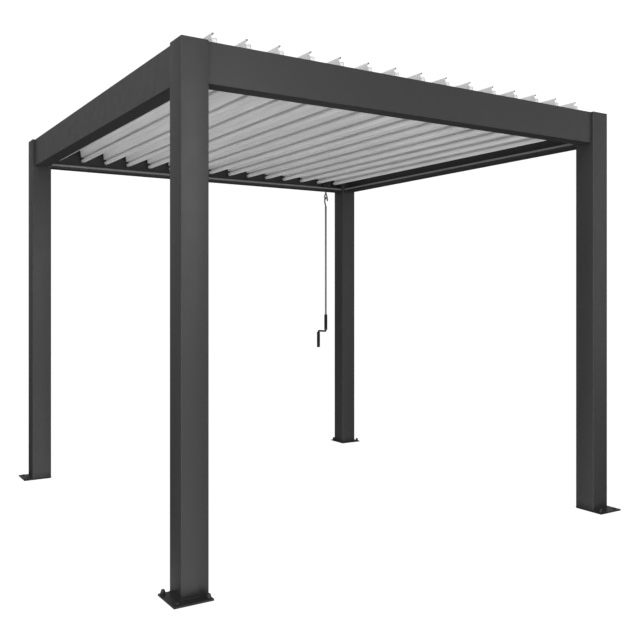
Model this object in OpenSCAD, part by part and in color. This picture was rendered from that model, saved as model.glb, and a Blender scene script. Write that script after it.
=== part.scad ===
// Louvred pergola: four square posts, a gutter-beam ring, fifteen tilting
// roof blades on one link bar, and a worm gearbox with a hanging crank.
// Origin: bottom centre of the four foot plates. X along the front beam,
// Y from the front beam to the back beam, Z up. Millimetres.

/* [Frame] */
// Width over the outer faces of the posts, along X
frame_w = 2884; // [2800:4:3000]
// Depth over the outer faces of the posts, along Y
frame_d = 2884; // [2700:4:3200]
// Height over the post caps
frame_h = 2497; // [2457:10:2537]
// Side of a square post
post_t = 133; // [125:1:140]
// Wall of a post
post_wall = 3; // [2:0.5:4]
// Thickness of a post cap
cap_th = 3; // [2:0.5:5]
// Width of the two arms of a post where it is cut away for the blades
post_arm = 50; // [48:1:52]

/* [Feet] */
// How far a foot plate reaches beyond the post's two outer faces
foot_e = 58; // [50:1:70]
// Thickness of a foot plate
foot_th = 8; // [6:1:12]
// Diameter of the anchor holes
anchor_d = 13; // [11:0.5:15]
// Distance of the side anchors from the post's faces
anchor_out = 40; // [26:1:44]
// Distance of the side anchors from the end of their strip
anchor_end = 19; // [16:1:26]

/* [Beams and gutters] */
// Inset of a beam from the outer faces of the posts
beam_inset = 15; // [10:1:15]
// Thickness of a beam, outside face to inside face
beam_t = 25; // [20:1:25]
// Height of a beam
beam_h = 190.5; // [188:0.5:192]
// Drop of the beam's top below the top of the caps
beam_drop = 1.5; // [1:0.5:2.5]
// Wall of a beam
beam_wall = 2.5; // [2:0.5:4]
// Distance of the gutter's inner face from the outer faces of the posts
gutter_in = 111; // [108:1:116]
// Height of the gutter lip over the underside
gutter_lip = 29; // [26:1:32]
// Diameter of the round bead along the gutter lip
bead_d = 15; // [12:1:16]
// Sheet of the gutter
gutter_wall = 2.5; // [2:0.5:3]

/* [Blades] */
// Number of blades
blade_n = 15; // [15:1:15]
// Distance from one pivot to the next
blade_pitch = 178; // [176:0.5:179]
// Height of the blade pivots
pivot_z = 2466; // [2464:1:2470]
// Opening angle in which the blades are drawn, measured from flat
blade_ang = 95.5; // [90:0.5:105]
// Distance from the front outer face to the blades' front ends
blade_front = 80; // [66:1:82]
// Distance from the back outer face to the blades' back ends
blade_back = 66; // [66:1:70]
// Diameter of the pivot pins
pin_d = 10; // [8:1:12]
// Diameter of the round nose along each blade
nose_d = 27; // [22:1:27]
// Running clearance round a pin, on the radius
pin_fit = 0.05; // [0.03:0.01:0.1]

/* [Drive] */
// Length of the lever on each blade
lever_r = 35; // [34:1:36]
// Diameter of the drive pins
drive_d = 8; // [6:1:8]
// Clearance round the free drive pins, on the radius
drive_gap = 1; // [0.5:0.1:1.2]
// Height of the gearbox output shaft
gear_z = 2357; // [2356:1:2359]
// Position of the crank along X from the left outer face
crank_x = 2599; // [2595:1:2605]
// Distance of the crank from the back outer face
crank_in = 84; // [82:1:86]
// Throw of the crank handle
crank_throw = 100; // [60:1:105]
// Diameter of the crank rod
rod_d = 17; // [14:0.5:18]
// Diameter of the two grips
grip_d = 29; // [24:1:30]

/* [Hidden] */
$fn = 48;

hw = frame_w / 2;
hd = frame_d / 2;
post_top = frame_h - cap_th;
notch_z = 2379;                       // the posts are cut away above this
beam_top = frame_h - beam_drop;
beam_z = beam_top - beam_h;           // underside of the beam ring
rail_t = 6;                           // pivot rail, on the beam's inside face
rail_in = beam_inset + beam_t + rail_t;
first_x = -(blade_n - 1) / 2 * blade_pitch;
foot_c = foot_e / 2;                  // corner anchor hole from the plate's outer edges
// pivot of a blade in its own section
pu = 95;
pv = -6.5;
nose_u = 7.5;                         // centre of the nose
nose_v = -nose_d / 2;
lever_a = -47.5;                      // direction of the levers as drawn
bar_in = blade_back - 9;              // front face of the link bar, from the back outer face
bar_t = 5;
lever_t = 4;
lx = lever_r * cos(lever_a);
lz = lever_r * sin(lever_a);
cx = -hw + crank_x;
cy = hd - crank_in;
ring_z = 2250;                        // centre of the eye below the beam
hook_turn = 13;                       // turn of the eye about the spindle
hook_drop = 19;                       // centre of the hook's arc below the eye's centre
throw_z = 1030;                       // height of the throw
throw_turn = -81;                     // turn of the crank throw from -X
anthracite = [0.27, 0.27, 0.28];
light = [0.78, 0.78, 0.78];
black = [0.1, 0.1, 0.1];
steel = [0.7, 0.7, 0.72];

// moves a piece drawn with its outer corner at 0,0 to one of the four corners
module corner(ix, iy)
    translate([ix * hw, iy * hd, 0])
        mirror([ix > 0 ? 1 : 0, 0, 0])
            mirror([0, iy > 0 ? 1 : 0, 0])
                children();

// outline of a square tube with small round edges
function arc(x, y, r, a0, n) = [for (k = [0:n]) [x + r * cos(a0 + 90 * k / n), y + r * sin(a0 + 90 * k / n)]];
module rsquare(x0, y0, x1, y1, r)
    polygon(concat(arc(x1 - r, y1 - r, r, 0, 4), arc(x0 + r, y1 - r, r, 90, 4),
        arc(x0 + r, y0 + r, r, 180, 4), arc(x1 - r, y0 + r, r, 270, 4)));

module post(ix, iy)
    color(anthracite) corner(ix, iy) difference() {
        translate([0, 0, foot_th]) linear_extrude(post_top - foot_th)
            rsquare(0, 0, post_t, post_t, 3);
        // hollow below the step
        translate([post_wall, post_wall, foot_th - 1])
            cube([post_t - 2 * post_wall, post_t - 2 * post_wall, notch_z - post_wall - foot_th + 1]);
        // hollow arms above the step
        translate([post_wall, post_wall, notch_z - post_wall - 1])
            cube([post_arm - 2 * post_wall, post_t - 2 * post_wall, frame_h]);
        translate([post_wall, post_wall, notch_z - post_wall - 1])
            cube([post_t - 2 * post_wall, post_arm - 2 * post_wall, frame_h]);
        // room for the ends of the closed blades
        translate([post_arm, post_arm, notch_z]) cube([post_t, post_t, frame_h]);
        // drain openings from the two gutters into the post
        translate([post_t - post_wall - 1, 50, beam_z + 4]) cube([post_wall + 2, 40, 20]);
        translate([50, post_t - post_wall - 1, beam_z + 4]) cube([40, post_wall + 2, 20]);
    }

module post_cap(ix, iy)
    color(anthracite) corner(ix, iy) union() {
        difference() {
            translate([0, 0, post_top]) linear_extrude(cap_th) rsquare(0, 0, post_t, post_t, 3);
            translate([post_arm, post_arm, post_top - 1]) cube([post_t, post_t, cap_th + 2]);
        }
        // plug inside the two arms of the post
        translate([post_wall + 0.3, post_wall + 0.3, post_top - 12])
            cube([post_arm - 2 * post_wall - 0.6, post_t - 2 * post_wall - 0.6, 12]);
        translate([post_wall + 0.3, post_wall + 0.3, post_top - 12])
            cube([post_t - 2 * post_wall - 0.6, post_arm - 2 * post_wall - 0.6, 12]);
    }

module foot_plate(ix, iy)
    color(black) corner(ix, iy) difference() {
        translate([0, 0, 0]) linear_extrude(foot_th)
            rsquare(-foot_e, -foot_e, post_t, post_t, 3);
        for (p = [[-foot_c, -foot_c], [-anchor_out, post_t - anchor_end], [post_t - anchor_end, -anchor_out]])
            translate([p[0], p[1], -1]) cylinder(d = anchor_d, h = foot_th + 2);
    }

// a beam along X with its outside face at y = 0, centred on x = 0
module beam_box(len)
    color(anthracite) difference() {
        translate([-len / 2, 0, beam_z]) cube([len, beam_t, beam_h]);
        translate([-len / 2 - 1, beam_wall, beam_z + beam_wall])
            cube([len + 2, beam_t - 2 * beam_wall, beam_h - 2 * beam_wall]);
    }

// a gutter lip along X, measured from the outer faces of the posts, centred on x = 0
module gutter_lip_profile(len)
    translate([-len / 2, 0, 0]) rotate([90, 0, 90]) linear_extrude(len) union() {
        translate([gutter_in - gutter_wall, beam_z]) square([gutter_wall, gutter_lip - bead_d / 2]);
        // round bead along the lip
        translate([gutter_in - bead_d / 2 + 2, beam_z + gutter_lip - bead_d / 2]) circle(d = bead_d);
    }

// a gutter floor along X, from the beam to the lip
module gutter_floor_plate(len)
    translate([-len / 2, beam_inset + beam_t, beam_z])
        cube([len, gutter_in - gutter_wall - beam_inset - beam_t, gutter_wall]);

module beam_front() translate([0, -hd + beam_inset, 0]) beam_box(frame_w - 2 * post_t);
module beam_back() mirror([0, 1, 0]) beam_front();
module beam_left() rotate([0, 0, -90]) translate([0, -hw + beam_inset, 0]) beam_box(frame_d - 2 * post_t);
module beam_right() mirror([1, 0, 0]) beam_left();

module gutter_lip_front() color(anthracite) translate([0, -hd, 0]) gutter_lip_profile(frame_w - 2 * post_t);
module gutter_lip_back() mirror([0, 1, 0]) gutter_lip_front();
module gutter_lip_left() color(anthracite) rotate([0, 0, -90]) translate([0, -hw, 0]) gutter_lip_profile(frame_d - 2 * post_t);
module gutter_lip_right() mirror([1, 0, 0]) gutter_lip_left();
module gutter_floors() color(anthracite) {
    translate([0, -hd, 0]) gutter_floor_plate(frame_w - 2 * post_t);
    difference() {
        mirror([0, 1, 0]) translate([0, -hd, 0]) gutter_floor_plate(frame_w - 2 * post_t);
        // hole for the crank spindle
        translate([cx, cy, beam_z - 1]) cylinder(d = 26, h = 10);
    }
    rotate([0, 0, -90]) translate([0, -hw, 0]) gutter_floor_plate(frame_d - 2 * post_t);
    mirror([1, 0, 0]) rotate([0, 0, -90]) translate([0, -hw, 0]) gutter_floor_plate(frame_d - 2 * post_t);
}

// strip with a bearing hole for each blade
module pivot_rail(y0)
    color(anthracite) difference() {
        translate([-hw + post_t + 4, y0, pivot_z - 26]) cube([frame_w - 2 * post_t - 8, rail_t, 50]);
        for (i = [0:blade_n - 1])
            translate([first_x + i * blade_pitch, y0 - 1, pivot_z]) rotate([-90, 0, 0])
                cylinder(d = pin_d + 2 * pin_fit, h = rail_t + 2);
    }
module pivot_rail_front() pivot_rail(-hd + beam_inset + beam_t);
module pivot_rail_back() pivot_rail(hd - rail_in);

// section of a blade when flat: round nose on the left, narrow channel behind it,
// hollow body, and a fin on the right that ends in a down-turned hook
module blade_hook() {
    translate([164, -2]) square([20, 2]);
    polygon([[182, 0], [185.5, 0], [192, -6.5], [192, -15.5], [187, -15.5], [187, -8], [182, -2]]);
}
module blade_section() {
    translate([34, -2]) square([132, 2]);             // rain face
    translate([34, -28]) square([2, 28]);             // body, channel side
    translate([164, -28]) square([2, 28]);            // body, hook side
    translate([7, -28]) square([159, 2]);             // underside and channel floor
    difference() {                                    // round nose
        translate([nose_u, nose_v]) circle(d = nose_d);
        translate([nose_u, nose_v]) circle(d = nose_d - 4);
    }
    blade_hook();
}
module blade_fill() {
    translate([34, -28]) square([132, 28]);
    translate([7, -28]) square([29, 8]);
    translate([nose_u, nose_v]) circle(d = nose_d);
}

// turns a piece drawn in the flat section into place at one pivot
module at_pivot(i)
    translate([first_x + i * blade_pitch, 0, pivot_z]) rotate([0, -blade_ang, 0]) children();

module blade(i) {
    y0 = -hd + blade_front;
    y1 = hd - blade_back;
    color(light) at_pivot(i) union() {
        // hollow extrusion
        translate([0, y1 - 3, 0]) rotate([90, 0, 0]) linear_extrude(y1 - y0 - 6)
            translate([-pu, -pv]) blade_section();
        // end caps
        for (y = [y0 + 3, y1]) translate([0, y, 0]) rotate([90, 0, 0]) linear_extrude(3)
            translate([-pu, -pv]) blade_fill();
        // pivot pins
        translate([0, y0, 0]) rotate([90, 0, 0]) cylinder(d = pin_d, h = blade_front - beam_inset - beam_t - 1);
        translate([0, y1, 0]) rotate([-90, 0, 0]) cylinder(d = pin_d, h = blade_back - beam_inset - beam_t - 1);
    }
    // lever with its drive pin
    color(light) translate([first_x + i * blade_pitch, y1, pivot_z]) lever_arm();
}

// lever from a pivot at 0,0 to the drive pin, on the plane behind the blades
module lever_arm() union() {
    rotate([-90, 0, 0]) cylinder(d = 18, h = lever_t);
    translate([lx, 0, lz]) rotate([-90, 0, 0]) cylinder(d = 15, h = lever_t);
    rotate([0, -lever_a, 0]) translate([0, 0, -6]) cube([lever_r, lever_t, 12]);
    translate([lx, 0, lz]) rotate([-90, 0, 0]) cylinder(d = drive_d, h = 15);
}

lead = 7;                             // blade_08 carries the link bar
module link_bar() {
    y0 = hd - bar_in;
    x0 = first_x + lx;
    z0 = pivot_z + lz;
    color(black) difference() {
        union() {
            translate([x0 - 14, y0, z0 - 8]) cube([(blade_n - 1) * blade_pitch + 28, bar_t, 16]);
            // plate down to the drive arm
            translate([cx + lx - 9, y0, gear_z + lz - 8]) cube([18, bar_t, pivot_z - gear_z + 8]);
        }
        for (i = [0:blade_n - 1])
            translate([x0 + i * blade_pitch, y0 - 1, z0]) rotate([-90, 0, 0])
                cylinder(d = drive_d + 2 * (i == lead ? pin_fit : drive_gap), h = bar_t + 2);
        translate([cx + lx, y0 - 1, gear_z + lz]) rotate([-90, 0, 0])
            cylinder(d = drive_d + 2 * drive_gap, h = bar_t + 2);
    }
}

module drive_arm() color(steel) translate([cx, hd - blade_back, gear_z]) union() {
    lever_arm();
    rotate([90, 0, 0]) cylinder(d = pin_d, h = 20);
}

module gearbox() {
    y0 = hd - 98;
    y1 = hd - 71;
    color(black) difference() {
        union() {
            translate([cx - 32, y0, beam_z + gutter_wall]) cube([64, y1 - y0, 56]);
            // boss through the gutter floor
            translate([cx, cy, beam_z - 6]) cylinder(d = 22, h = 20);
        }
        // bearing of the output shaft
        translate([cx, y1 + 1, gear_z - 0]) rotate([90, 0, 0]) cylinder(d = pin_d + 2 * pin_fit, h = 22);
        // bearing of the crank spindle
        translate([cx, cy, beam_z - 7]) cylinder(d = 10 + 2 * pin_fit, h = 28);
    }
}

// quarter or half ring of wire in the XZ plane, from angle a0 over a1 degrees
module bend(x, z, r, a0, a1, wire)
    translate([x, 0, z]) rotate([90, 0, 0]) rotate([0, 0, a0])
        rotate_extrude(angle = a1) translate([r, 0]) circle(d = wire);

module crank_eye() color(steel) translate([cx, cy, 0]) rotate([0, 0, hook_turn]) union() {
    translate([0, 0, ring_z + 15]) cylinder(d = 10, h = beam_z + 12 - ring_z - 15);
    translate([0, 0, ring_z + 17]) cylinder(d1 = 24, d2 = 14, h = 24);
    // ring
    translate([0, 0, ring_z]) rotate([90, 0, 0]) rotate_extrude() translate([18, 0]) circle(d = 10);
}

module crank_rod() color(steel) translate([cx, cy, 0]) union() {
    // hook through the ring: free tip, arc, leg and the slanted neck
    rotate([0, 0, hook_turn + 90]) union() {
        translate([-20.5, 0, ring_z - 35]) sphere(d = 12);
        translate([-20.5, 0, ring_z - 35]) cylinder(d = 12, h = 35 - hook_drop);
        bend(-4, ring_z - hook_drop, 16.5, 0, 180, 12);
        translate([12.5, 0, ring_z - 48]) cylinder(d = 13, h = 48 - hook_drop);
        translate([12.5, 0, ring_z - 48]) sphere(d = 13.6);
        translate([12.5, 0, ring_z - 48]) rotate([180, atan2(12.5, 38), 0]) cylinder(d = 13, h = sqrt(12.5 * 12.5 + 38 * 38));
    }
    // rod, throw and handle spindle
    rotate([0, 0, throw_turn]) union() {
        translate([0, 0, ring_z - 86]) sphere(d = rod_d);
        translate([0, 0, throw_z + 12]) cylinder(d = rod_d, h = ring_z - 86 - throw_z - 12);
        bend(-12, throw_z + 12, 12, 270, 90, rod_d);
        translate([-crank_throw + 12, 0, throw_z]) rotate([0, 90, 0]) cylinder(d = rod_d, h = crank_throw - 24);
        bend(-crank_throw + 12, throw_z - 12, 12, 90, 90, rod_d);
        translate([-crank_throw, 0, 881]) cylinder(d = rod_d, h = throw_z - 12 - 881);
        translate([-crank_throw, 0, 879]) cylinder(d = 21, h = 3);
    }
}

module grip(z0, z1, bore) difference() {
    union() {
        translate([0, 0, z0]) cylinder(d = grip_d, h = z1 - z0);
        for (z = [z0, z1 - 6]) translate([0, 0, z]) cylinder(d = grip_d + 2, h = 6);
    }
    translate([0, 0, z0 - 1]) cylinder(d = bore + 0.2, h = z1 - z0 + 2);
}

module crank_grips() color(black) translate([cx, cy, 0]) rotate([0, 0, throw_turn]) {
    grip(throw_z + 13, 1179, rod_d);
    translate([-crank_throw, 0, 0]) grip(883, throw_z - 12, rod_d);
}

post(-1, -1);  // post_front_left
post(1, -1);  // post_front_right
post(-1, 1);  // post_back_left
post(1, 1);  // post_back_right
post_cap(-1, -1);  // post_cap_front_left
post_cap(1, -1);  // post_cap_front_right
post_cap(-1, 1);  // post_cap_back_left
post_cap(1, 1);  // post_cap_back_right
foot_plate(-1, -1);  // foot_plate_front_left
foot_plate(1, -1);  // foot_plate_front_right
foot_plate(-1, 1);  // foot_plate_back_left
foot_plate(1, 1);  // foot_plate_back_right
beam_front();
beam_back();
beam_left();
beam_right();
gutter_lip_front();
gutter_lip_back();
gutter_lip_left();
gutter_lip_right();
gutter_floors();
pivot_rail_front();
pivot_rail_back();
blade(0);  // blade_01
blade(1);  // blade_02
blade(2);  // blade_03
blade(3);  // blade_04
blade(4);  // blade_05
blade(5);  // blade_06
blade(6);  // blade_07
blade(7);  // blade_08
blade(8);  // blade_09
blade(9);  // blade_10
blade(10);  // blade_11
blade(11);  // blade_12
blade(12);  // blade_13
blade(13);  // blade_14
blade(14);  // blade_15
link_bar();
drive_arm();
gearbox();
crank_eye();
crank_rod();
crank_grips();
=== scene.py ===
import math
import bpy, bmesh
from mathutils import Vector, Matrix


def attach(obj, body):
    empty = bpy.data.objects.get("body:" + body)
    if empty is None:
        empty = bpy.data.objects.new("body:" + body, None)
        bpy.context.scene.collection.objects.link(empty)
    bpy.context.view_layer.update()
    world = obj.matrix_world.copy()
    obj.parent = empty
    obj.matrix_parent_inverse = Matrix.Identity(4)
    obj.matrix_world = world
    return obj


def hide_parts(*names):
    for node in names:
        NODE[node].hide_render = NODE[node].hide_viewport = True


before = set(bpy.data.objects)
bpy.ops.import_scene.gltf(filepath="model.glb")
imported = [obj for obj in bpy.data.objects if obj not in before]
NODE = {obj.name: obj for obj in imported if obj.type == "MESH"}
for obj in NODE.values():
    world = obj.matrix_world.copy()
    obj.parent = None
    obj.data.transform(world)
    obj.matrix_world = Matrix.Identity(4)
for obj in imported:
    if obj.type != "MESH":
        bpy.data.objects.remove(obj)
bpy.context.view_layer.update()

sc = bpy.context.scene

# ------------------------------------------------------------------ sizes, in metres
MM = 0.001
HW = HD = 1442 * MM                    # half of the width and depth over the posts
POST = 133 * MM
FOOT_C = 29 * MM                       # corner anchor hole outside the post's faces
SIDE_OUT, SIDE_IN = 40 * MM, POST - 19 * MM   # side anchor holes: outside one face, inward from the other
FOOT_TH = 8 * MM
INSET, BEAM_T = 15 * MM, 25 * MM
BEAM_TOP, BEAM_Z = 2495.5 * MM, 2305 * MM
RAIL_T = 6 * MM
PITCH, PIVOT_Z, N_BLADES = 178 * MM, 2466 * MM, 15
OPEN = math.radians(95.5)               # the blades as drawn
PU, PV = 95 * MM, -6.5 * MM             # pivot in the flat blade's own section
Y_FRONT, Y_BACK = -HD + 80 * MM, HD - 66 * MM
LEVER, LEVER_A = 35 * MM, math.radians(-47.5)
LX, LZ = LEVER * math.cos(LEVER_A), LEVER * math.sin(LEVER_A)
CX, CY = 1157 * MM, 1358 * MM          # crank
GEAR_Z, RING_Z = 2357 * MM, 2250 * MM
THROW, THROW_TURN, THROW_Z = 100 * MM, math.radians(-81), 1030 * MM

# ------------------------------------------------------------------ camera
cam_d = bpy.data.cameras.new("camera")
cam = bpy.data.objects.new("camera", cam_d)
sc.collection.objects.link(cam)
sc.camera = cam
cam_d.sensor_width = 36.0
cam_d.lens = 797.66 / 640 * 36.0
cam_d.shift_x = (320 - 307.32) / 640
cam_d.shift_y = (296.33 - 320) / 640
cam_d.clip_end = 200
cam.location = (-2.8287, -4.7106, 1.3461)
cam.rotation_euler = (math.radians(90), 0, math.radians(-31.97))


# ------------------------------------------------------------------ node helpers
class Mat:
    """A Principled material and short names for the nodes that feed it. Coordinates are the object's own, in metres."""

    def __init__(self, name, rough=0.5, metallic=0.0, spec=0.5, coat=0.0, coat_rough=0.1):
        self.m = bpy.data.materials.new(name)
        self.m.use_nodes = True
        self.t = self.m.node_tree
        self.b = self.t.nodes["Principled BSDF"]
        self.b.inputs["Roughness"].default_value = rough
        self.b.inputs["Metallic"].default_value = metallic
        self.b.inputs["Specular IOR Level"].default_value = spec
        self.b.inputs["Coat Weight"].default_value = coat
        self.b.inputs["Coat Roughness"].default_value = coat_rough
        self.tc = self.t.nodes.new("ShaderNodeTexCoord")

    def n(self, kind, **at):
        node = self.t.nodes.new(kind)
        for k, v in at.items():
            setattr(node, k, v)
        return node

    def put(self, a, b):
        if hasattr(a, "links") or hasattr(a, "is_linked"):
            self.t.links.new(a, b)
        else:
            b.default_value = a

    def coords(self, scale=(1, 1, 1), rot=(0, 0, 0)):
        mp = self.n("ShaderNodeMapping")
        mp.inputs["Scale"].default_value = scale
        mp.inputs["Rotation"].default_value = rot
        self.t.links.new(self.tc.outputs["Object"], mp.inputs["Vector"])
        return mp.outputs[0]

    def noise(self, scale, detail=2.0, rough=0.5, at=None, distort=0.0):
        nz = self.n("ShaderNodeTexNoise")
        nz.inputs["Scale"].default_value = scale
        nz.inputs["Detail"].default_value = detail
        nz.inputs["Roughness"].default_value = rough
        nz.inputs["Distortion"].default_value = distort
        self.t.links.new(at or self.tc.outputs["Object"], nz.inputs["Vector"])
        return nz.outputs["Fac"]

    def voronoi(self, scale, at=None):
        v = self.n("ShaderNodeTexVoronoi")
        v.inputs["Scale"].default_value = scale
        self.t.links.new(at or self.tc.outputs["Object"], v.inputs["Vector"])
        return v.outputs["Distance"]

    def ramp(self, x, a, b, lo=0.0, hi=1.0, smooth=False):
        mr = self.n("ShaderNodeMapRange")
        if smooth:
            mr.interpolation_type = "SMOOTHSTEP"
        self.put(x, mr.inputs["Value"])
        for i, v in zip((1, 2, 3, 4), (a, b, lo, hi)):
            mr.inputs[i].default_value = v
        return mr.outputs[0]

    def math(self, op, a, b=0.0, c=None):
        m = self.n("ShaderNodeMath", operation=op)
        self.put(a, m.inputs[0])
        self.put(b, m.inputs[1])
        if c is not None:
            self.put(c, m.inputs[2])
        return m.outputs[0]

    def mix(self, fac, a, b):
        mx = self.n("ShaderNodeMix", data_type="RGBA")
        self.put(fac, mx.inputs["Factor"])
        for v, s in ((a, mx.inputs[6]), (b, mx.inputs[7])):
            if isinstance(v, (int, float)):
                v = (v, v, v, 1)
            self.put(v, s)
        return mx.outputs[2]

    def xyz(self):
        s = self.n("ShaderNodeSeparateXYZ")
        self.t.links.new(self.tc.outputs["Object"], s.inputs[0])
        return s.outputs

    def scale_colour(self, colour, by):
        """colour times a number"""
        v = self.n("ShaderNodeVectorMath", operation="SCALE")
        self.put(colour, v.inputs[0])
        self.put(by, v.inputs["Scale"])
        return v.outputs[0]

    def bump(self, height, dist, strength=1.0, after=None):
        bp = self.n("ShaderNodeBump")
        bp.inputs["Strength"].default_value = strength
        bp.inputs["Distance"].default_value = dist
        self.t.links.new(height, bp.inputs["Height"])
        if after is not None:
            self.t.links.new(after, bp.inputs["Normal"])
        return bp.outputs[0]

    def out(self, colour=None, rough=None, normal=None, metallic=None):
        for v, k in ((colour, "Base Color"), (rough, "Roughness"), (normal, "Normal"), (metallic, "Metallic")):
            if v is not None:
                self.put(v, self.b.inputs[k])
        return self.m


def powder(name, base, rough=0.40, spec=0.35, painted_foot_shade=False, painted_corner_highlight=False, grain=1.0, painted_recess_shade=None):
    """Fine-texture powder coat: faint clouds, a fine speckle and an orange-peel bump."""
    m = Mat(name, rough=rough, spec=spec)
    clouds = m.ramp(m.noise(2.2, 3.0), 0.3, 0.7, 0.97, 1.03)
    speck = m.ramp(m.noise(950.0, 1.0), 0.35, 0.65, 1 - 0.07 * grain, 1 + 0.07 * grain)
    tone = m.math("MULTIPLY", clouds, speck)
    if painted_recess_shade:                         # painted shade: a darker band in the recess under the gutter's bead
        x, y, z = m.xyz()
        low = m.math("ADD", z, m.ramp(m.noise(60.0, 3.0), 0.3, 0.7, -0.0008, 0.0008))
        tone = m.math("MULTIPLY", tone, m.ramp(low, painted_recess_shade[0], painted_recess_shade[1], painted_recess_shade[2], 1.0, smooth=True))
    if painted_corner_highlight:                        # painted highlight: the coat lighter along a post's four upright edges
        x, y, z = m.xyz()
        u = m.math("SUBTRACT", HW, m.math("ABSOLUTE", x))
        v = m.math("SUBTRACT", HD, m.math("ABSOLUTE", y))
        du = m.math("MINIMUM", u, m.math("SUBTRACT", POST, u))
        dv = m.math("MINIMUM", v, m.math("SUBTRACT", POST, v))
        near = m.math("MAXIMUM", du, dv)
        broken = m.math("ADD", near, m.ramp(m.noise(38.0, 3.0), 0.3, 0.7, -0.0012, 0.0012))
        wear_and_highlight = m.ramp(broken, 0.0012, 0.0040, 1.0, 0.0, smooth=True)
        tone = m.math("MULTIPLY", tone, m.math("ADD", 1.0, m.math("MULTIPLY", wear_and_highlight, 0.35)))
    if painted_foot_shade:                          # painted contact shade: the post darker towards its foot plate
        x, y, z = m.xyz()
        low = m.math("ADD", z, m.ramp(m.noise(26.0, 4.0, 0.6), 0.3, 0.7, -0.012, 0.012))
        contact_shade = m.ramp(low, 0.004, 0.062, 0.42, 1.0, smooth=True)
        tone = m.math("MULTIPLY", tone, contact_shade)
    col = m.scale_colour((base, base, base), tone)
    r = m.ramp(m.noise(14.0, 4.0, 0.6), 0.3, 0.7, rough - 0.035, rough + 0.045)
    peel = m.bump(m.noise(520.0, 2.0), 0.00009 * grain, 0.30)
    fine = m.bump(m.noise(1700.0, 1.0), 0.00004 * grain, 0.30, after=peel)
    return m.out(col, r, fine)


CAP_RIM, CAP_PLUG = 0.82, 1.16         # tone of a blade's end cap against its coat


def blade_coat(name, base, rough=0.42, spec=0.4, wear_and_highlight=0.0, caps=False):
    """Smooth light coat on an extrusion: faint die lines and streaks along Y, soft clouds, whiter moulded end caps."""
    m = Mat(name, rough=rough, spec=spec)
    die = m.noise(1.0, 2.0, 0.6, at=m.coords((420, 0.7, 420)))
    streak = m.noise(1.0, 3.0, 0.55, at=m.coords((60, 1.3, 60)))
    cloud = m.noise(3.4, 4.0, 0.6)
    tone = m.math("MULTIPLY", m.ramp(die, 0.3, 0.7, 0.985, 1.015), m.ramp(streak, 0.28, 0.72, 0.89, 1.05))
    tone = m.math("MULTIPLY", tone, m.ramp(cloud, 0.3, 0.7, 0.955, 1.03))
    if wear_and_highlight:
        tone = m.math("MULTIPLY", tone, 1.0 - wear_and_highlight)
    if caps:
        x, y, z = m.xyz()
        cap = m.math("MAXIMUM", m.ramp(y, Y_FRONT + 0.0031, Y_FRONT + 0.0034, 1.0, 0.0), m.ramp(y, Y_BACK - 0.0034, Y_BACK - 0.0031, 0.0, 1.0))
        # place in the flat section, from the height and the place within one pitch
        px = m.n("ShaderNodeMath", operation="WRAP")
        m.put(x, px.inputs[0])
        px.inputs[1].default_value, px.inputs[2].default_value = PITCH / 2, -PITCH / 2
        dz = m.math("SUBTRACT", z, PIVOT_Z)
        c_, s_ = math.cos(-OPEN), math.sin(-OPEN)
        u = m.math("ADD", m.math("SUBTRACT", m.math("MULTIPLY", px.outputs[0], c_), m.math("MULTIPLY", dz, s_)), PU)
        v = m.math("ADD", m.math("ADD", m.math("MULTIPLY", px.outputs[0], s_), m.math("MULTIPLY", dz, c_)), PV)
        inner = m.math("MULTIPLY", m.ramp(v, -0.0236, -0.0232, 0.0, 1.0), m.ramp(v, -0.0048, -0.0044, 1.0, 0.0))
        inner = m.math("MULTIPLY", inner, m.math("MULTIPLY", m.ramp(u, 0.0380, 0.0384, 0.0, 1.0), m.ramp(u, 0.1612, 0.1616, 1.0, 0.0)))
        # white moulded plug inside the greyer rim of the cap
        face = m.math("ADD", CAP_RIM, m.math("MULTIPLY", inner, CAP_PLUG - CAP_RIM))
        face = m.math("MULTIPLY", face, m.ramp(m.noise(60.0, 3.0), 0.3, 0.7, 0.985, 1.01))
        tone = m.math("ADD", m.math("MULTIPLY", tone, m.math("SUBTRACT", 1.0, cap)), m.math("MULTIPLY", cap, face))
    col = m.scale_colour((base, base, base * 0.998), tone)
    r = m.ramp(streak, 0.25, 0.75, rough - 0.05, rough + 0.06)
    lines = m.bump(die, 0.00006, 0.4)
    peel = m.bump(m.noise(430.0, 2.0), 0.00006, 0.3, after=lines)
    return m.out(col, r, peel)


def metal(name, base, rough=0.36, metallic=0.85, brush=(900, 900, 14), dip=None):
    """Zinc-plated steel, drawn along one axis, with duller patches. Below the height dip it is dipped in black."""
    m = Mat(name, rough=rough, metallic=metallic, spec=0.5)
    brushed = m.noise(1.0, 2.0, 0.6, at=m.coords(brush))
    patch = m.noise(55.0, 4.0, 0.65)
    tone = m.math("MULTIPLY", m.ramp(brushed, 0.3, 0.7, 0.92, 1.06), m.ramp(patch, 0.35, 0.65, 0.86, 1.05))
    col = m.scale_colour((base, base, base * 1.01), tone)
    r = m.math("ADD", m.ramp(patch, 0.35, 0.65, rough + 0.10, rough - 0.05), m.ramp(brushed, 0.3, 0.7, -0.03, 0.03))
    mt = None
    if dip:
        x, y, z = m.xyz()
        bare = m.ramp(z, dip - 0.0008, dip, 0.0, 1.0)
        col = m.mix(bare, m.scale_colour((0.020, 0.020, 0.020), tone), col)
        mt = m.math("MULTIPLY", bare, metallic)
    return m.out(col, r, m.bump(brushed, 0.00004, 0.4), mt)


def rubber(name, base, rough=0.6, spec=0.35, scale=700.0, depth=0.00015):
    """Moulded rubber or nylon: fine leathery grain, rubbed shinier on patches."""
    m = Mat(name, rough=rough, spec=spec)
    grain = m.voronoi(scale)
    rub = m.noise(30.0, 3.0)
    tone = m.math("MULTIPLY", m.ramp(grain, 0.0, 0.6, 0.85, 1.15), m.ramp(rub, 0.35, 0.65, 0.9, 1.12))
    col = m.scale_colour((base, base, base), tone)
    return m.out(col, m.ramp(rub, 0.35, 0.65, rough + 0.06, rough - 0.08), m.bump(grain, depth, 0.5))


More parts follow.
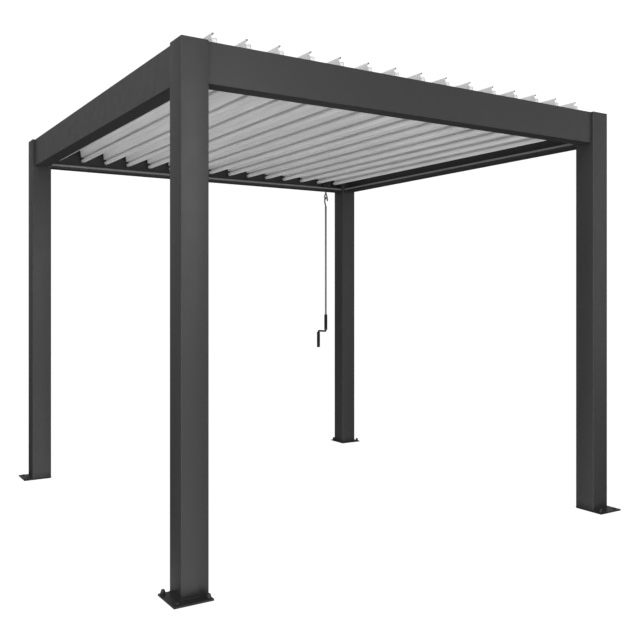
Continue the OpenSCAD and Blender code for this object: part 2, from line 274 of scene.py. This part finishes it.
FRAME = 0.0365
LIP_TOP = BEAM_Z + 29 * MM
M = {
    # posts: painted contact shade at the foot and a painted highlight along the four upright edges
    "post": powder("frame_coat_posts", FRAME, painted_foot_shade=True, painted_corner_highlight=True),
    "frame": powder("frame_coat", FRAME),
    # the edge coats are lighter copies laid on the bevels: part edge wear, part painted highlight
    "edge": powder("frame_coat_edge_wear_and_highlight", FRAME * 1.55, rough=0.34, grain=0.6),
    # gutter lip: coat far lighter than the frame coat as a painted highlight on the bead, with painted shade in the
    # recess beneath
    "lip": powder("gutter_lip_painted_highlight", 0.210, rough=0.30, spec=0.5, grain=0.6, painted_recess_shade=(LIP_TOP - 16.5 * MM, LIP_TOP - 13.0 * MM, 0.12)),
    "blade": blade_coat("blade_coat", 0.835, rough=0.36, spec=0.5, caps=True),
    "blade_edge": blade_coat("blade_coat_edge_wear_and_highlight", 0.865, rough=0.32, caps=True),
    "foot": powder("foot_plate_coat", 0.016, rough=0.46, spec=0.35, grain=1.3),
    "foot_edge": powder("foot_plate_coat_edge_wear_and_highlight", 0.034, rough=0.40, grain=0.8),
    "weld": powder("weld_coat", 0.012, rough=0.50, spec=0.3, grain=1.6),
    "black": powder("black_coat", 0.014, rough=0.42, spec=0.4, grain=0.8),
    "black_edge": powder("black_coat_edge_wear_and_highlight", 0.030, rough=0.36, grain=0.6),
    "steel": metal("plated_steel", 0.26, rough=0.38),
    "rod": metal("crank_steel", 0.26, rough=0.38, dip=THROW_Z + 14 * MM),
    "screw": metal("screw_steel", 0.50, rough=0.30, brush=(500, 500, 500)),
    "white_screw": blade_coat("painted_screw", 0.74, rough=0.38),
    "black_bolt": metal("blackened_bolt", 0.030, rough=0.38, metallic=0.25, brush=(600, 600, 600)),
    "grip": rubber("grip_rubber", 0.006, spec=0.25),
    "seal": rubber("seal_rubber", 0.020, rough=0.65, scale=1200.0, depth=0.00006),
    "grey_seal": rubber("grey_seal_rubber", 0.25, rough=0.65, scale=1200.0, depth=0.00006),
    "nylon": rubber("bushing_nylon", 0.030, rough=0.45, scale=1500.0, depth=0.00003),
}


# ------------------------------------------------------------------ mesh helpers
def piece(name, bm, mat, body, angle=35.0):
    """Makes the object, recalculates its normals and shades it smooth up to an angle."""
    bmesh.ops.recalc_face_normals(bm, faces=bm.faces)
    me = bpy.data.meshes.new(name)
    bm.to_mesh(me)
    bm.free()
    me.shade_smooth()
    me.set_sharp_from_angle(angle=math.radians(angle))
    o = bpy.data.objects.new(name, me)
    sc.collection.objects.link(o)
    for x in (mat if isinstance(mat, (list, tuple)) else [mat]):
        me.materials.append(x)
    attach(o, body)
    return o


def loft(bm, rings, at=Matrix.Identity(4), cap0=True, cap1=True, loop=False):
    """Joins rings of the same number of points with quads. Caps close the two ends."""
    vs = [[bm.verts.new(at @ Vector(p)) for p in r] for r in rings]
    k = len(vs[0])
    pairs = list(zip(vs, vs[1:])) + ([(vs[-1], vs[0])] if loop else [])
    for a, b in pairs:
        for i in range(k):
            j = (i + 1) % k
            bm.faces.new((a[i], a[j], b[j], b[i]))
    if not loop:
        if cap0:
            bm.faces.new(list(reversed(vs[0])))
        if cap1:
            bm.faces.new(vs[-1])


def ring(z, radius, k=32):
    """A ring of k points at height z. radius is a number or a function of the angle."""
    out = []
    for i in range(k):
        a = 2 * math.pi * i / k
        r = radius(a) if callable(radius) else radius
        out.append((r * math.cos(a), r * math.sin(a), z))
    return out


def hexagon(af):
    """Radius of a hexagon of that width across flats, by angle."""
    return lambda a: af / 2 / math.cos((a + math.pi / 6) % (math.pi / 3) - math.pi / 6)


def lathe(bm, profile, at=Matrix.Identity(4), k=32, loop=False):
    loft(bm, [ring(z, r, k) for r, z in profile], at, loop=loop)


def to(x, y, z, axis="z", flip=False):
    """Matrix that takes a piece drawn on +Z to a place and a direction."""
    rot = {"z": Matrix.Identity(4), "x": Matrix.Rotation(math.pi / 2, 4, "Y"),
           "y": Matrix.Rotation(-math.pi / 2, 4, "X")}[axis]
    if flip:
        rot = rot @ Matrix.Rotation(math.pi, 4, "X")
    return Matrix.Translation((x, y, z)) @ rot


def rounded_bar(bm, lo, hi, r=0.001, axis=2, n=3):
    """A bar between two corners with its four long edges (along axis) rounded and its ends chamfered."""
    lo, hi = Vector(lo), Vector(hi)
    a, b = [i for i in range(3) if i != axis]
    cx_, cy_ = (lo[a] + hi[a]) / 2, (lo[b] + hi[b]) / 2
    wx, wy = (hi[a] - lo[a]) / 2, (hi[b] - lo[b]) / 2

    def outline(inset):
        pts = []
        for sx, sy, a0 in ((1, 1, 0), (-1, 1, 90), (-1, -1, 180), (1, -1, 270)):
            for i in range(n + 1):
                t = math.radians(a0 + 90 * i / n)
                pts.append((cx_ + sx * (wx - r) + (r - inset) * math.cos(t), cy_ + sy * (wy - r) + (r - inset) * math.sin(t)))
        return pts

    def place(pts, w):
        out = []
        for p in pts:
            v = [0, 0, 0]
            v[a], v[b], v[axis] = p[0], p[1], w
            out.append(tuple(v))
        return out

    c = min(r * 0.6, (hi[axis] - lo[axis]) * 0.3)
    loft(bm, [place(outline(c), lo[axis]), place(outline(0), lo[axis] + c),
              place(outline(0), hi[axis] - c), place(outline(c), hi[axis])])


def screw_head(bm, at, d=8.0, h=2.6, key=3.0, k=36, six=True):
    """Pan head with a recess. Sizes in mm. It sits on z = 0 and reaches 0.4 mm below."""
    r = d / 2
    rings = [ring(-0.4 * MM, r * 0.96 * MM, k), ring(0.0, r * MM, k), ring(0.25 * h * MM, r * MM, k)]
    for i in range(1, 5):
        t = math.pi / 2 * i / 4.6
        rings.append(ring((0.25 + 0.75 * math.sin(t)) * h * MM, (r - (r - key * 0.62) * (1 - math.cos(t)) * 0.9) * MM, k))
    top = (0.25 + 0.75 * math.sin(math.pi / 2 * 4 / 4.6)) * h
    rec = (lambda a: key / 2 * (1.08 + 0.12 * math.cos(6 * a)) * MM) if six else hexagon(key * MM)
    rings.append(ring(top * MM, rec, k))
    rings.append(ring((top - 0.42 * h) * MM, rec, k))
    loft(bm, rings, at)


def hex_bolt(bm, at, af=10.0, h=6.0, flange=14.5, k=48):
    """Hexagon flange bolt head on z = 0. Sizes in mm."""
    hx = hexagon(af * MM)
    cut = lambda lim: (lambda a: min(hx(a), lim * MM))
    loft(bm, [ring(-0.5 * MM, flange / 2 * 0.98 * MM, k), ring(0.9 * MM, flange / 2 * MM, k),
              ring(1.5 * MM, flange / 2 * 0.93 * MM, k), ring(2.0 * MM, cut(af * 0.60), k),
              ring((h - 0.9) * MM, cut(af * 0.60), k), ring((h - 0.35) * MM, cut(af * 0.535), k),
              ring(h * MM, af * 0.46 * MM, k), ring((h - 0.3) * MM, af * 0.36 * MM, k)], at)


# ------------------------------------------------------------------ CAD nodes: materials, bevels and shading
def smooth_group():
    g = bpy.data.node_groups.new("shade_by_angle", "GeometryNodeTree")
    g.interface.new_socket("Geometry", in_out="INPUT", socket_type="NodeSocketGeometry")
    g.interface.new_socket("Geometry", in_out="OUTPUT", socket_type="NodeSocketGeometry")
    gi, go = g.nodes.new("NodeGroupInput"), g.nodes.new("NodeGroupOutput")
    rm = g.nodes.new("GeometryNodeRemoveAttribute")
    rm.inputs["Name"].default_value = "custom_normal"
    ang = g.nodes.new("GeometryNodeInputMeshEdgeAngle")
    cmp_ = g.nodes.new("FunctionNodeCompare")
    cmp_.operation = "LESS_EQUAL"
    cmp_.inputs[1].default_value = math.radians(32)
    s1, s2 = g.nodes.new("GeometryNodeSetShadeSmooth"), g.nodes.new("GeometryNodeSetShadeSmooth")
    s1.domain, s2.domain = "FACE", "EDGE"
    L = g.links.new
    L(gi.outputs[0], rm.inputs["Geometry"])
    L(rm.outputs[0], s1.inputs["Geometry"])
    L(s1.outputs[0], s2.inputs["Geometry"])
    L(ang.outputs[0], cmp_.inputs[0])
    L(cmp_.outputs[0], s2.inputs["Shade Smooth"])
    L(s2.outputs[0], go.inputs[0])
    return g


SHADE = smooth_group()


def finish_node(o, mats, bevel=0.0, segments=2, edge_mat=True):
    o.data.materials.clear()
    for m in mats:
        o.data.materials.append(m)
    w = o.modifiers.new("weld", "WELD")
    w.merge_threshold = 1e-5
    if bevel:
        b = o.modifiers.new("bevel", "BEVEL")
        b.width = bevel
        b.segments = segments
        b.limit_method = "ANGLE"
        b.angle_limit = math.radians(50)
        b.use_clamp_overlap = True
        b.harden_normals = False
        # bevel faces take the second, lighter material: part edge wear, part painted highlight
        if edge_mat and len(mats) > 1:
            b.material = 1
    g = o.modifiers.new("shade", "NODES")
    g.node_group = SHADE
    if bevel:
        wn = o.modifiers.new("normals", "WEIGHTED_NORMAL")
        wn.keep_sharp = True
        wn.weight = 60


for name, o in NODE.items():
    if name.startswith("post_cap"):
        finish_node(o, [M["frame"], M["edge"]], 0.0009)
    elif name.startswith("post_"):
        finish_node(o, [M["post"]])
    elif name.startswith("foot_plate"):
        finish_node(o, [M["foot"], M["foot_edge"]], 0.0010)
    elif name.startswith("beam_"):
        finish_node(o, [M["frame"], M["edge"]], 0.0010)
    elif name.startswith("gutter_lip"):
        finish_node(o, [M["lip"]])
    elif name == "gutter_floors":
        finish_node(o, [M["frame"]])
    elif name.startswith("pivot_rail"):
        finish_node(o, [M["frame"], M["edge"]], 0.0006)
    elif name.startswith("blade_"):
        finish_node(o, [M["blade"], M["blade_edge"]], 0.0004, 1)
    elif name == "link_bar":
        finish_node(o, [M["black"], M["black_edge"]], 0.0006)
    elif name == "gearbox":
        finish_node(o, [M["black"], M["black_edge"]], 0.0020, 3)
    elif name == "crank_grips":
        finish_node(o, [M["grip"]])
    elif name == "crank_rod":
        finish_node(o, [M["rod"]])
    else:
        finish_node(o, [M["steel"]])

# ------------------------------------------------------------------ feet: anchors, corner screws, weld beads
CORNERS = {"front_left": (-1, -1), "front_right": (1, -1), "back_left": (-1, 1), "back_right": (1, 1)}


def foot_point(ix, iy, a, b):
    """A point a, b inward from the two outer faces of a post (negative is outside)."""
    return ix * (HW - a), iy * (HD - b)


for where, (ix, iy) in CORNERS.items():
    bm = bmesh.new()
    for k_, (a, b) in enumerate(((-SIDE_OUT, SIDE_IN), (SIDE_IN, -SIDE_OUT))):
        x, y = foot_point(ix, iy, a, b)
        turn = Matrix.Rotation(math.radians(11 + 17 * k_ + 5 * ix), 4, "Z")
        at = to(x, y, FOOT_TH) @ turn
        # washer
        lathe(bm, [(6.3 * MM, 0.0), (12.6 * MM, 0.0), (13.0 * MM, 0.4 * MM), (13.0 * MM, 1.7 * MM),
                   (12.6 * MM, 2.1 * MM), (6.3 * MM, 2.1 * MM)], at, 40, loop=True)
        # dome nut
        hx = hexagon(20.4 * MM)
        cut = lambda lim: (lambda t, lim=lim: min(hx(t), lim * MM))
        rings = [ring(2.1 * MM, 9.8 * MM, 48), ring(2.9 * MM, cut(10.9), 48), ring(3.5 * MM, cut(11.5), 48),
                 ring(10.6 * MM, cut(11.5), 48), ring(11.3 * MM, cut(10.9), 48), ring(11.9 * MM, 10.0 * MM, 48),
                 ring(12.1 * MM, 9.5 * MM, 48), ring(15.2 * MM, 9.4 * MM, 48)]
        for i in range(1, 8):
            t = math.pi / 2 * i / 8
            rings.append(ring((15.2 + 8.8 * math.sin(t)) * MM, 9.4 * math.cos(t) * MM, 48))
        loft(bm, rings, at)
        # anchor rod through the plate
        lathe(bm, [(5.4 * MM, 0.4 * MM - FOOT_TH), (6.0 * MM, 1.0 * MM - FOOT_TH), (6.0 * MM, 3.0 * MM)], at, 32)
    piece("anchor_nuts_" + where, bm, M["black_bolt"], "frame")
    bm = bmesh.new()
    x, y = foot_point(ix, iy, -FOOT_C, -FOOT_C)
    at = to(x, y, FOOT_TH)
    lathe(bm, [(6.3 * MM, 0.0), (10.9 * MM, 0.0), (11.3 * MM, 0.4 * MM), (11.3 * MM, 1.3 * MM),
               (10.9 * MM, 1.7 * MM), (6.3 * MM, 1.7 * MM)], at, 40, loop=True)
    screw_head(bm, to(x, y, FOOT_TH + 1.7 * MM), 19.0, 5.2, 8.0, 48, six=False)
    lathe(bm, [(5.4 * MM, 0.4 * MM - FOOT_TH), (6.0 * MM, 1.0 * MM - FOOT_TH), (6.0 * MM, 2.4 * MM)], at, 32)
    piece("corner_screw_" + where, bm, M["black_bolt"], "frame")
    # weld bead round the post's base: ripples along a fillet
    bm = bmesh.new()
    path, R, S = [], 3.0 * MM, 1.6 * MM
    lo_, hi_ = 0.0, POST
    for cx0, cy0, a0 in ((hi_ - R, hi_ - R, 0), (lo_ + R, hi_ - R, 90), (lo_ + R, lo_ + R, 180), (hi_ - R, lo_ + R, 270)):
        for i in range(5):
            t = math.radians(a0 + 22.5 * i)
            path.append(((cx0 + R * math.cos(t), cy0 + R * math.sin(t)), (math.cos(t), math.sin(t))))
    dense = []
    for (p, n0), (q, n1) in zip(path, path[1:] + path[:1]):
        d = math.hypot(q[0] - p[0], q[1] - p[1])
        steps = max(1, round(d / (1.7 * MM)))
        for i in range(steps):
            t = i / steps
            dense.append((p[0] + (q[0] - p[0]) * t, p[1] + (q[1] - p[1]) * t, n0[0] + (n1[0] - n0[0]) * t, n0[1] + (n1[1] - n0[1]) * t))
    rings = []
    for i, (px, py, nx, ny) in enumerate(dense):
        leg = (2.5 + 0.22 * math.sin(i * 2 * math.pi / 3) + 0.15 * math.sin(i * 0.37 + ix + 2 * iy)) * MM
        r = []
        for u, w in ((-0.5 * MM, -0.5 * MM), (leg, -0.5 * MM), (leg * 0.98, 0.25 * MM), (leg * 0.62, leg * 0.62), (0.25 * MM, leg * 0.98), (-0.5 * MM, leg)):
            x, y = foot_point(ix, iy, px + nx * u, py + ny * u)
            r.append((x, y, FOOT_TH + w))
        rings.append(r)
    loft(bm, rings, loop=True)
    piece("base_weld_" + where, bm, M["weld"], "frame", 50)


# ------------------------------------------------------------------ beams: end gaskets and bolts
def beam_map(side):
    """Point (along, in, z) of a beam to x, y, z. along runs on the beam, in is inward from the posts' outer faces."""
    return {"front": lambda s, d, z: (s, -HD + d, z), "back": lambda s, d, z: (-s, HD - d, z),
            "left": lambda s, d, z: (-HW + d, -s, z), "right": lambda s, d, z: (HW - d, s, z)}[side]


HALF = HW - POST
for side in ("front", "back", "left", "right"):
    f = beam_map(side)
    bm = bmesh.new()
    for e in (-1, 1):
        o_, i_ = 0.7 * MM, 1.2 * MM
        d0, d1, z0, z1 = INSET, INSET + BEAM_T, BEAM_Z, BEAM_TOP
        rings = []
        for s, g in ((HALF - 3.2 * MM, 0.0), (HALF - 2.8 * MM, o_), (HALF, o_)):
            rings.append([f(e * s, *p) for p in ((d0 - g, z0 - g), (d1 + g, z0 - g), (d1 + g, z1 + g), (d0 - g, z1 + g))])
        for s in (HALF, HALF - 3.2 * MM):
            rings.append([f(e * s, *p) for p in ((d0 + i_, z0 + i_), (d1 - i_, z0 + i_), (d1 - i_, z1 - i_), (d0 + i_, z1 - i_))])
        loft(bm, rings, loop=True)
    piece("end_gaskets_" + side, bm, M["seal"], "frame", 30)
    # two flange bolts at each end, on the inside face below the pivot rail
    bm = bmesh.new()
    for e in (-1, 1):
        for z in (BEAM_Z + 62 * MM, BEAM_Z + 112 * MM):
            x, y, zz = f(e * (HALF - 38 * MM), INSET + BEAM_T, z)
            ax = {"front": to(x, y, zz, "y"), "back": to(x, y, zz, "y", True),
                  "left": to(x, y, zz, "x"), "right": to(x, y, zz, "x", True)}[side]
            hex_bolt(bm, ax @ Matrix.Rotation(math.radians(13 * e + z * 9000 % 40), 4, "Z"))
    piece("beam_bolts_" + side, bm, M["black_bolt"], "frame")

# ------------------------------------------------------------------ pivot rails: bushings and screws
for where, y0, flip in (("front", -HD + INSET + BEAM_T + RAIL_T, False), ("back", HD - INSET - BEAM_T - RAIL_T, True)):
    bm = bmesh.new()
    for i in range(N_BLADES):
        x = (i - (N_BLADES - 1) / 2) * PITCH
        lathe(bm, [(5.15 * MM, -0.3 * MM), (9.0 * MM, -0.3 * MM), (9.2 * MM, 1.2 * MM), (8.7 * MM, 1.8 * MM),
                   (6.6 * MM, 1.9 * MM), (6.3 * MM, 3.2 * MM), (5.9 * MM, 3.5 * MM), (5.15 * MM, 3.5 * MM)],
              to(x, y0, PIVOT_Z, "y", flip), 36, loop=True)
    piece("pivot_bushings_" + where, bm, M["nylon"], "frame")
    bm = bmesh.new()
    for i in range(N_BLADES + 1):
        x = (i - N_BLADES / 2) * PITCH
        x = max(-HALF + 16 * MM, min(HALF - 16 * MM, x))
        for dz in (-15 * MM, 13 * MM):
            screw_head(bm, to(x, y0, PIVOT_Z + dz, "y", flip) @ Matrix.Rotation(i * 0.7 + dz * 90, 4, "Z"), 8.5, 2.8, 3.4, 24)
    piece("rail_screws_" + where, bm, M["black_bolt"], "frame")

# ------------------------------------------------------------------ blades: cap screws, link hardware and seals
for i in range(N_BLADES):
    name = f"blade_{i + 1:02d}"
    px = (i - (N_BLADES - 1) / 2) * PITCH
    pose = Matrix.Translation((px, 0, PIVOT_Z)) @ Matrix.Rotation(-OPEN, 4, "Y")

    def flat(u, v, y):
        """A point of the blade's flat section."""
        return pose @ Vector((u * MM - PU, y, v * MM - PV))

    bm = bmesh.new()
    for y, ax, fl in ((Y_FRONT, "y", True), (Y_BACK, "y", False)):
        for j, (u, v) in enumerate(((44, -14), (118, -14))):
            p = flat(u, v, y)
            screw_head(bm, to(p.x, p.y, p.z, ax, fl) @ Matrix.Rotation(0.5 * i + j, 4, "Z"), 7.6, 2.2, 3.0, 24)
    piece(name + "_cap_screws", bm, M["white_screw"], name)
    # spacer sleeve and clip on the drive pin
    bm = bmesh.new()
    at = to(px + LX, Y_BACK, PIVOT_Z + LZ, "y")
    lathe(bm, [(4.0 * MM, 4.1 * MM), (5.7 * MM, 4.1 * MM), (6.0 * MM, 4.4 * MM), (6.0 * MM, 8.4 * MM), (5.7 * MM, 8.7 * MM),
               (4.0 * MM, 8.7 * MM)], at, 28, loop=True)
    lathe(bm, [(3.6 * MM, 14.2 * MM), (6.6 * MM, 14.2 * MM), (6.8 * MM, 14.35 * MM), (6.8 * MM, 14.85 * MM), (6.6 * MM, 15.0 * MM),
               (3.6 * MM, 15.0 * MM)], at, 28, loop=True)
    piece(name + "_pin_clip", bm, M["screw"], name)
    # sealing strip under the hook; its core runs through the hook and shows at both ends
    bm = bmesh.new()
    prof = [(187.2, -14.9), (187.0, -15.2), (186.2, -15.3), (185.3, -15.0), (184.7, -14.2), (184.5, -13.0), (184.6, -10.4),
            (185.0, -9.5), (185.8, -9.1), (186.6, -9.2), (187.2, -9.4)]
    ys = (Y_FRONT + 3.4 * MM, Y_FRONT + 4.2 * MM, Y_BACK - 4.2 * MM, Y_BACK - 3.4 * MM)
    rings = []
    for k_, y in enumerate(ys):
        s = 0.86 if k_ in (0, 3) else 1.0
        rings.append([tuple(flat(186.0 + (u - 186.0) * s, -12.2 + (v + 12.2) * s, y)) for u, v in prof])
    loft(bm, rings)
    core = [(187.7, -14.8), (191.3, -14.8), (191.3, -6.9), (190.4, -5.9), (187.7, -8.6)]
    for y, w in ((Y_FRONT + 3 * MM, -1), (Y_BACK - 3 * MM, 1)):
        loft(bm, [[tuple(flat(u, v, y + w * dy * MM)) for u, v in core] for dy in (-1.0, 1.4)] +
                 [[tuple(flat(189.6 + (u - 189.6) * 0.85, -10.6 + (v + 10.6) * 0.85, y + w * 1.9 * MM)) for u, v in core]])
    piece(name + "_seal", bm, M["grey_seal"], name, 40)

# ------------------------------------------------------------------ drive: arm clip, gearbox cover, spindle flange
bm = bmesh.new()
at = to(CX + LX, Y_BACK, GEAR_Z + LZ, "y")
lathe(bm, [(4.0 * MM, 4.1 * MM), (5.7 * MM, 4.1 * MM), (6.0 * MM, 4.4 * MM), (6.0 * MM, 8.4 * MM), (5.7 * MM, 8.7 * MM),
           (4.0 * MM, 8.7 * MM)], at, 28, loop=True)
lathe(bm, [(3.6 * MM, 14.2 * MM), (6.6 * MM, 14.2 * MM), (6.8 * MM, 14.35 * MM), (6.8 * MM, 14.85 * MM), (6.6 * MM, 15.0 * MM),
           (3.6 * MM, 15.0 * MM)], at, 28, loop=True)
piece("drive_arm_clip", bm, M["screw"], "drive_arm")

GY = HD - 98 * MM                      # gearbox front face
GZ = BEAM_Z + 2.5 * MM
bm = bmesh.new()
rounded_bar(bm, (CX - 27 * MM, GY - 2.4 * MM, GZ + 5 * MM), (CX + 27 * MM, GY + 0.5 * MM, GZ + 51 * MM), 5 * MM, 1, 5)
lathe(bm, [(11.0 * MM, -0.5 * MM), (11.0 * MM, 4.6 * MM), (10.0 * MM, 5.6 * MM), (6.0 * MM, 5.6 * MM), (5.4 * MM, 5.0 * MM)],
      to(CX, GY, GEAR_Z, "y", True), 40)
piece("gearbox_cover", bm, M["black"], "frame")
bm = bmesh.new()
for sx in (-1, 1):
    for z in (GZ + 10 * MM, GZ + 46 * MM):
        screw_head(bm, to(CX + sx * 22 * MM, GY - 2.4 * MM, z, "y", True) @ Matrix.Rotation(z * 50 + sx, 4, "Z"), 6.5, 2.4, 2.8, 24)
    # ears that fix the housing to the gutter floor
    x = CX + sx * 38 * MM
    screw_head(bm, to(x, HD - 84 * MM, GZ + 4 * MM), 8.5, 3.0, 3.4, 24)
piece("gearbox_screws", bm, M["screw"], "frame")
bm = bmesh.new()
for sx in (-1, 1):
    x0, x1 = sorted((CX + sx * 30 * MM, CX + sx * 46 * MM))
    rounded_bar(bm, (x0, HD - 94 * MM, GZ - 0.2 * MM), (x1, HD - 74 * MM, GZ + 4 * MM), 4 * MM, 2, 5)
    rounded_bar(bm, (CX + sx * 32 * MM - 1.6 * MM, HD - 93 * MM, GZ + 8 * MM), (CX + sx * 32 * MM + 1.6 * MM, HD - 89.5 * MM, GZ + 52 * MM), 1 * MM, 2, 3)
    rounded_bar(bm, (CX + sx * 32 * MM - 1.6 * MM, HD - 79.5 * MM, GZ + 8 * MM), (CX + sx * 32 * MM + 1.6 * MM, HD - 76 * MM, GZ + 52 * MM), 1 * MM, 2, 3)
piece("gearbox_ears", bm, M["black"], "frame")
bm = bmesh.new()
lathe(bm, [(11.0 * MM, 0.3 * MM), (19.0 * MM, 0.3 * MM), (19.0 * MM, -1.0 * MM), (17.5 * MM, -2.2 * MM), (13.0 * MM, -3.0 * MM),
           (12.4 * MM, -4.6 * MM), (11.0 * MM, -4.8 * MM)], to(CX, CY, BEAM_Z), 48, loop=True)
piece("spindle_flange", bm, M["black"], "frame")

# ------------------------------------------------------------------ crank: grips, ferrule, end stop
at = Matrix.Translation((CX, CY, 0)) @ Matrix.Rotation(THROW_TURN, 4, "Z")


def grip(bm, z0, z1, x, bore):
    """Moulded grip with flutes between two collars and a bore for the rod. Sizes in mm."""
    K = 96

    def body(z, r, flute):
        return ring(z * MM, lambda a: (r - flute * (0.5 + 0.5 * math.cos(12 * a)) ** 1.6) * MM, K)

    spec = [(z0, bore, 0), (z0, 13.8, 0), (z0 + 0.4, 14.7, 0), (z0 + 1.4, 15.2, 0), (z0 + 3.0, 15.35, 0), (z0 + 4.6, 15.2, 0),
            (z0 + 5.6, 14.8, 0), (z0 + 6.2, 14.3, 0), (z0 + 7.5, 14.1, 0.1), (z0 + 10, 14.1, 0.6), (z0 + 13, 14.1, 0.9)]
    L_ = z1 - z0
    for i in range(1, 12):             # a slight swell in the middle
        t = i / 12
        spec.append((z0 + 13 + (L_ - 26) * t, 14.1 + 0.35 * math.sin(math.pi * t), 0.9))
    spec += [(z1 - 13, 14.1, 0.9), (z1 - 10, 14.1, 0.6), (z1 - 7.5, 14.1, 0.1), (z1 - 6.2, 14.3, 0), (z1 - 5.6, 14.8, 0),
             (z1 - 4.6, 15.2, 0), (z1 - 3.0, 15.35, 0), (z1 - 1.4, 15.2, 0), (z1 - 0.4, 14.7, 0), (z1, 13.8, 0), (z1, bore, 0)]
    loft(bm, [body(*s) for s in spec], at @ Matrix.Translation((x, 0, 0)), loop=True)


bm = bmesh.new()
grip(bm, 1043, 1179, 0.0, 8.4)
grip(bm, 883, 1018, -THROW, 8.4)
g = piece("crank_grips_fluted", bm, M["grip"], "crank", 40)
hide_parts("crank_grips")
bm = bmesh.new()
# crimped ferrule where the tube meets the hook
lathe(bm, [(8.3 * MM, RING_Z - 112 * MM), (9.1 * MM, RING_Z - 111.4 * MM), (9.1 * MM, RING_Z - 104 * MM), (8.75 * MM, RING_Z - 103.4 * MM),
           (8.75 * MM, RING_Z - 102.2 * MM), (9.1 * MM, RING_Z - 101.6 * MM), (9.1 * MM, RING_Z - 88 * MM), (8.8 * MM, RING_Z - 87 * MM),
           (8.2 * MM, RING_Z - 86.6 * MM)], at, 40)
# end stop over the upper grip
lathe(bm, [(8.4 * MM, 1179.2 * MM), (10.2 * MM, 1179.2 * MM), (10.6 * MM, 1179.7 * MM), (10.6 * MM, 1182.4 * MM), (10.0 * MM, 1183.2 * MM), (8.4 * MM, 1183.4 * MM)],
      at, 36, loop=True)
piece("crank_ferrules", bm, M["steel"], "crank")

# ------------------------------------------------------------------ stage and light
me = bpy.data.meshes.new("floor")
me.from_pydata([(-60, -60, -0.0005), (60, -60, -0.0005), (60, 60, -0.0005), (-60, 60, -0.0005)], [], [(0, 1, 2, 3)])
floor = bpy.data.objects.new("floor", me)
sc.collection.objects.link(floor)
fm = bpy.data.materials.new("floor_pale")
fm.use_nodes = True
ft = fm.node_tree
ft.nodes.remove(ft.nodes["Principled BSDF"])
em, tr, mx, ge = (ft.nodes.new(k) for k in ("ShaderNodeEmission", "ShaderNodeBsdfTransparent", "ShaderNodeMixShader", "ShaderNodeNewGeometry"))
em.inputs["Color"].default_value = (1, 1, 1, 1)
em.inputs["Strength"].default_value = 1.05
ft.links.new(ge.outputs["Backfacing"], mx.inputs[0])
ft.links.new(em.outputs[0], mx.inputs[1])
ft.links.new(tr.outputs[0], mx.inputs[2])
ft.links.new(mx.outputs[0], ft.nodes["Material Output"].inputs["Surface"])
me.materials.append(fm)
floor.visible_diffuse = floor.visible_glossy = floor.visible_transmission = floor.visible_shadow = False

sc.view_settings.view_transform = "Standard"
w = bpy.data.worlds.new("studio")
sc.world = w
w.use_nodes = True
wt = w.node_tree
bg = wt.nodes["Background"]
bg.inputs["Color"].default_value = (1, 1, 1, 1)
white = wt.nodes.new("ShaderNodeBackground")
white.inputs["Color"].default_value = (1, 1, 1, 1)
white.inputs["Strength"].default_value = 1.05
wtc, wsp, wmr, wlp, wmx = (wt.nodes.new(k) for k in ("ShaderNodeTexCoord", "ShaderNodeSeparateXYZ", "ShaderNodeMapRange", "ShaderNodeLightPath", "ShaderNodeMixShader"))
for i, v in zip((1, 2, 3, 4), (-0.2, 0.5, 0.0, 0.568)):
    wmr.inputs[i].default_value = v
wt.links.new(wtc.outputs["Generated"], wsp.inputs[0])
wt.links.new(wsp.outputs[2], wmr.inputs[0])
wt.links.new(wmr.outputs[0], bg.inputs["Strength"])
wt.links.new(wlp.outputs["Is Camera Ray"], wmx.inputs[0])
wt.links.new(bg.outputs[0], wmx.inputs[1])
wt.links.new(white.outputs[0], wmx.inputs[2])
wt.links.new(wmx.outputs[0], wt.nodes["World Output"].inputs["Surface"])


def softbox(name, loc, size, power, target=None):
    d = bpy.data.lights.new(name, "AREA")
    d.shape = "SQUARE"
    d.size = size
    d.energy = power
    o = bpy.data.objects.new(name, d)
    o.location = loc
    o.rotation_euler = (Vector(target) - Vector(loc)).to_track_quat("-Z", "Y").to_euler() if target else (math.pi, 0, 0)
    o.visible_camera = False
    sc.collection.objects.link(o)
    return o


def around(name, az, el, power, r=8.0, size=4.0):
    a, e = math.radians(az), math.radians(el)
    back = Vector((math.sin(a) * math.cos(e), -math.cos(a) * math.cos(e), math.sin(e)))
    return softbox(name, Vector((0, 0, 1.25)) + back * r, size, power, (0, 0, 1.25))


def beside(name, az, z, power):
    a = math.radians(az)
    return softbox(name, (5.0 * math.sin(a), -5.0 * math.cos(a), z), 1.5, power, (0, 0, 1.4))


around("front", 0, 5, 88)
around("front_low", 0, -30, 101)
around("left_low", 270, -30, 79)
around("key_high", 315, 40, 66)
around("key", 315, 5, 89)
around("key_low", 315, -30, 74)
around("front_right", 45, 5, 44)
beside("front_fill", 0, 2.5, 24)
beside("left_front_fill_low", -60, 1.0, 10)
beside("left_fill_high", -60, 4.0, 32)
beside("left_fill_low", -90, 1.0, 13.5)
softbox("under", (0, 0, -1.5), 6.0, 80)
